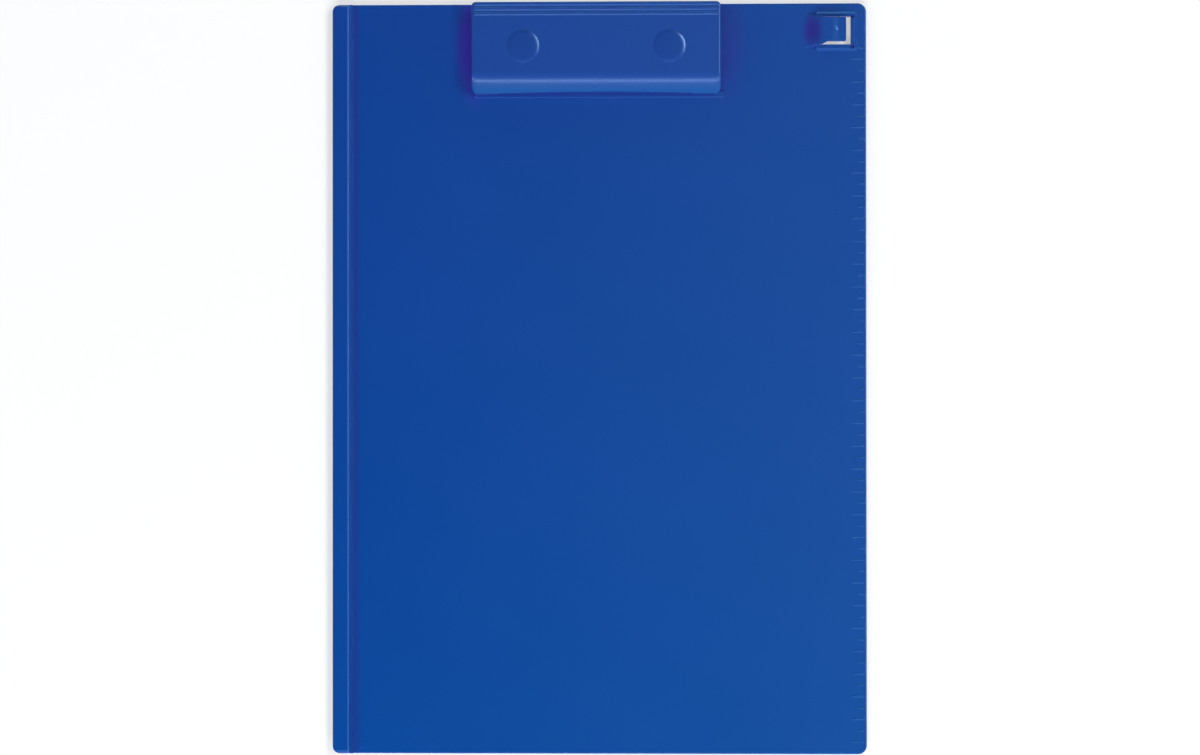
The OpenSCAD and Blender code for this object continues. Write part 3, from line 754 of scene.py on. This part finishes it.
def spring_route(side):
    """Points of one spring in metres: fixed leg, coil round the pin, moving leg."""
    count = int(TURNS * STEPS_PER_TURN)
    route = [(-COIL_L / 2, LEG_L, -COIL_R), (-COIL_L / 2, LEG_L / 2, -COIL_R)]
    for i in range(count + 1):
        turned = math.radians(-90) - 2 * math.pi * i / STEPS_PER_TURN
        route.append((COIL_L * (i / count - 0.5), COIL_R * math.cos(turned),
                      COIL_R * math.sin(turned)))
    route += [(COIL_L / 2, LEG_L / 2, COIL_R), (COIL_L / 2, LEG_L, COIL_R)]
    return [Vector((side * (SPRING_X + x), AXIS_Y + y, AXIS_Z + z)) * MM for x, y, z in route]


print("route:", len(spring_route(1)), "points")

# %% [markdown]
# ## The springs
# The CAD solid of a spring is a tube with six sides. A curve with a round bevel gives smooth
# wire along the same route. Turned into a mesh, it takes the place of the CAD spring, which is
# hidden.

# %% The springs
WIRE_CREASE = 50


def wire_piece(name, points, radius, finish):
    """A round wire along the points, as a mesh."""
    curve = bpy.data.curves.new(name + "_route", "CURVE")
    curve.dimensions = "3D"
    curve.bevel_depth = radius
    curve.bevel_resolution = 4
    curve.use_fill_caps = True
    line = curve.splines.new("POLY")
    line.points.add(len(points) - 1)
    for point, spot in zip(line.points, points):
        point.co = (*spot, 1)
    guide = bpy.data.objects.new(name + "_guide", curve)
    bpy.context.scene.collection.objects.link(guide)
    mesh = bpy.data.meshes.new_from_object(guide.evaluated_get(
        bpy.context.evaluated_depsgraph_get()))
    bpy.data.objects.remove(guide)
    piece = bpy.data.objects.new(name, mesh)
    bpy.context.scene.collection.objects.link(piece)
    mesh.materials.clear()
    mesh.materials.append(finish)
    for face in mesh.polygons:
        face.use_smooth = True
    mesh.set_sharp_from_angle(angle=math.radians(WIRE_CREASE))
    return piece


for name, side in (("left", -1), ("right", 1)):
    spring = wire_piece("torsion_spring_" + name, spring_route(side), WIRE_D / 2 * MM, wire_steel)
    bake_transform(spring)
    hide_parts("spring_" + name)
    print(spring.name, "verts", len(spring.data.vertices))

# %% [markdown]
# ## Stage: floor and world
# The board lies on a white sheet. The sheet itself is a middling grey that takes the board's
# shadow, and a little glow lifts it to white for the eye, for mirror rays and for rays through
# glass, so it lights nothing. The world adds a faint even light, which keeps the deepest corners
# from going black.

# %% Floor and world
SHEET_HALF = 3.0
SHEET_DROP = 0.1 * MM
SHEET_GREY = (0.6, 0.6, 0.6, 1)
SHEET_GLOW = 0.45
WORLD_GREY = (0.07, 0.07, 0.07, 1)
floor_mesh = bpy.data.meshes.new("floor")
floor_edit = bmesh.new()
bmesh.ops.create_grid(floor_edit, x_segments=8, y_segments=8, size=SHEET_HALF)
floor_edit.to_mesh(floor_mesh)
floor_edit.free()
floor = bpy.data.objects.new("floor", floor_mesh)
bpy.context.scene.collection.objects.link(floor)
floor.location = (0, 0, -SHEET_DROP)

paper, paper_tree, paper_shader = new_material("white_sheet")
rays = place(paper_tree, "ShaderNodeLightPath").outputs
seen = maths(paper_tree, "MAXIMUM", rays["Is Camera Ray"], rays["Is Glossy Ray"])
seen_too = maths(paper_tree, "MAXIMUM", seen, rays["Is Transmission Ray"])
glow = maths(paper_tree, "MULTIPLY", seen_too, SHEET_GLOW)
fill(paper_tree, paper_shader, {"Base Color": SHEET_GREY, "Roughness": 0.9,
                                "Emission Color": (1, 1, 1, 1), "Emission Strength": glow})
floor_mesh.materials.append(paper)

world = bpy.data.worlds.new("studio")
bpy.context.scene.world = world
world.use_nodes = True
backdrop = world.node_tree.nodes["Background"]
fill(world.node_tree, backdrop, {"Color": WORLD_GREY, "Strength": 1.0})
print("floor", 2 * SHEET_HALF, "m wide, world level", WORLD_GREY[0])

# %% [markdown]
# ## Lamps
# Softboxes stand round the board, well away from straight above, or the flat plate would mirror
# them and lose its blue. In a studio one lamp does two things: it lights the surface, and it
# shows as a highlight in the gloss. Here each lamp does only one, so that the level of the blue
# and the strength of the highlights can be set apart: a narrow one to the right draws the
# crescents on the domes, a strip below the page draws the band along the lip, and a strip above
# it draws the bright slopes of the corner frame. The power grows with the square of the
# distance, so a lamp's level says what a white face would show, wherever the lamp stands.


# %% Lamps
def softbox(name, tilt, heading, distance, size, level, colour, aim=(0, 0.05, 0),
            mirrored=True, lights=True):
    """A soft lamp that gives a white face this level: tilt from straight up, heading from +X."""
    up, round_to = math.radians(tilt), math.radians(heading)
    way = Vector((math.sin(up) * math.cos(round_to), math.sin(up) * math.sin(round_to),
                  math.cos(up)))
    data = bpy.data.lights.new(name, "AREA")
    data.shape = "RECTANGLE"
    data.size, data.size_y = size
    data.energy = level * (math.pi * distance) ** 2 / math.cos(up)
    data.color = colour
    lamp = bpy.data.objects.new(name, data)
    bpy.context.scene.collection.objects.link(lamp)
    lamp.visible_glossy = mirrored
    lamp.visible_diffuse = lights
    lamp.location = Vector(aim) + way * distance
    lamp.rotation_euler = way.to_track_quat("Z", "Y").to_euler()
    print(name, "level", level, "power", round(data.energy, 1), "W")


softbox("key_right", 38, 21, 3.1, (2.4, 0.18), 0.55, (0.8, 0.9, 1.0), aim=(0, 0.1, 0),
        lights=False)
softbox("soft_right", 36, 14, 3.0, (2.0, 0.8), 0.34, (1.0, 1.0, 1.0), mirrored=False)
softbox("strip_below", 45, -90, 3.2, (4.0, 0.50), 0.26, (1.0, 1.0, 1.0), lights=False)
softbox("bank_low", 77, -90, 3.2, (6.0, 1.8), 0.12, (0.9, 1.0, 1.0), mirrored=False)
softbox("soft_below", 50, -90, 3.2, (3.0, 2.0), 0.44, (0.97, 1.0, 1.0), mirrored=False)
softbox("bank_above", 77, 90, 3.0, (5.0, 1.4), 0.06, (0.60, 1.0, 1.0), mirrored=False)
softbox("sheen_above", 76, 90, 3.0, (5.0, 0.5), 0.16, (0.5, 0.9, 1.0), lights=False)
softbox("card_left", 55, 180, 2.6, (3.0, 1.6), 0.09, (1.0, 0.8, 1.0), mirrored=False)

# %% [markdown]
# ## Camera
# The photograph looks straight down from about 1.4 metres. A long lens at that distance shows
# the clip's height only as a slight lean outwards at the top of the page. The small turns were
# found by matching the four straight edges of the board with the frame's own corners.

# %% Camera
CAMERA_AT = (0.0368, -0.0073, 1.403)
CAMERA_TURN = (0.319, 1.489, -0.036)
LENS = 95.46
SENSOR = 36
camera_data = bpy.data.cameras.new("camera")
camera_data.lens = LENS
camera_data.sensor_width = SENSOR
camera = bpy.data.objects.new("camera", camera_data)
bpy.context.scene.collection.objects.link(camera)
camera.location = CAMERA_AT
camera.rotation_euler = [math.radians(turn) for turn in CAMERA_TURN]
bpy.context.scene.camera = camera
bpy.context.scene.view_settings.view_transform = "Standard"
print("camera", CAMERA_AT[2], "m up, lens", LENS, "mm")
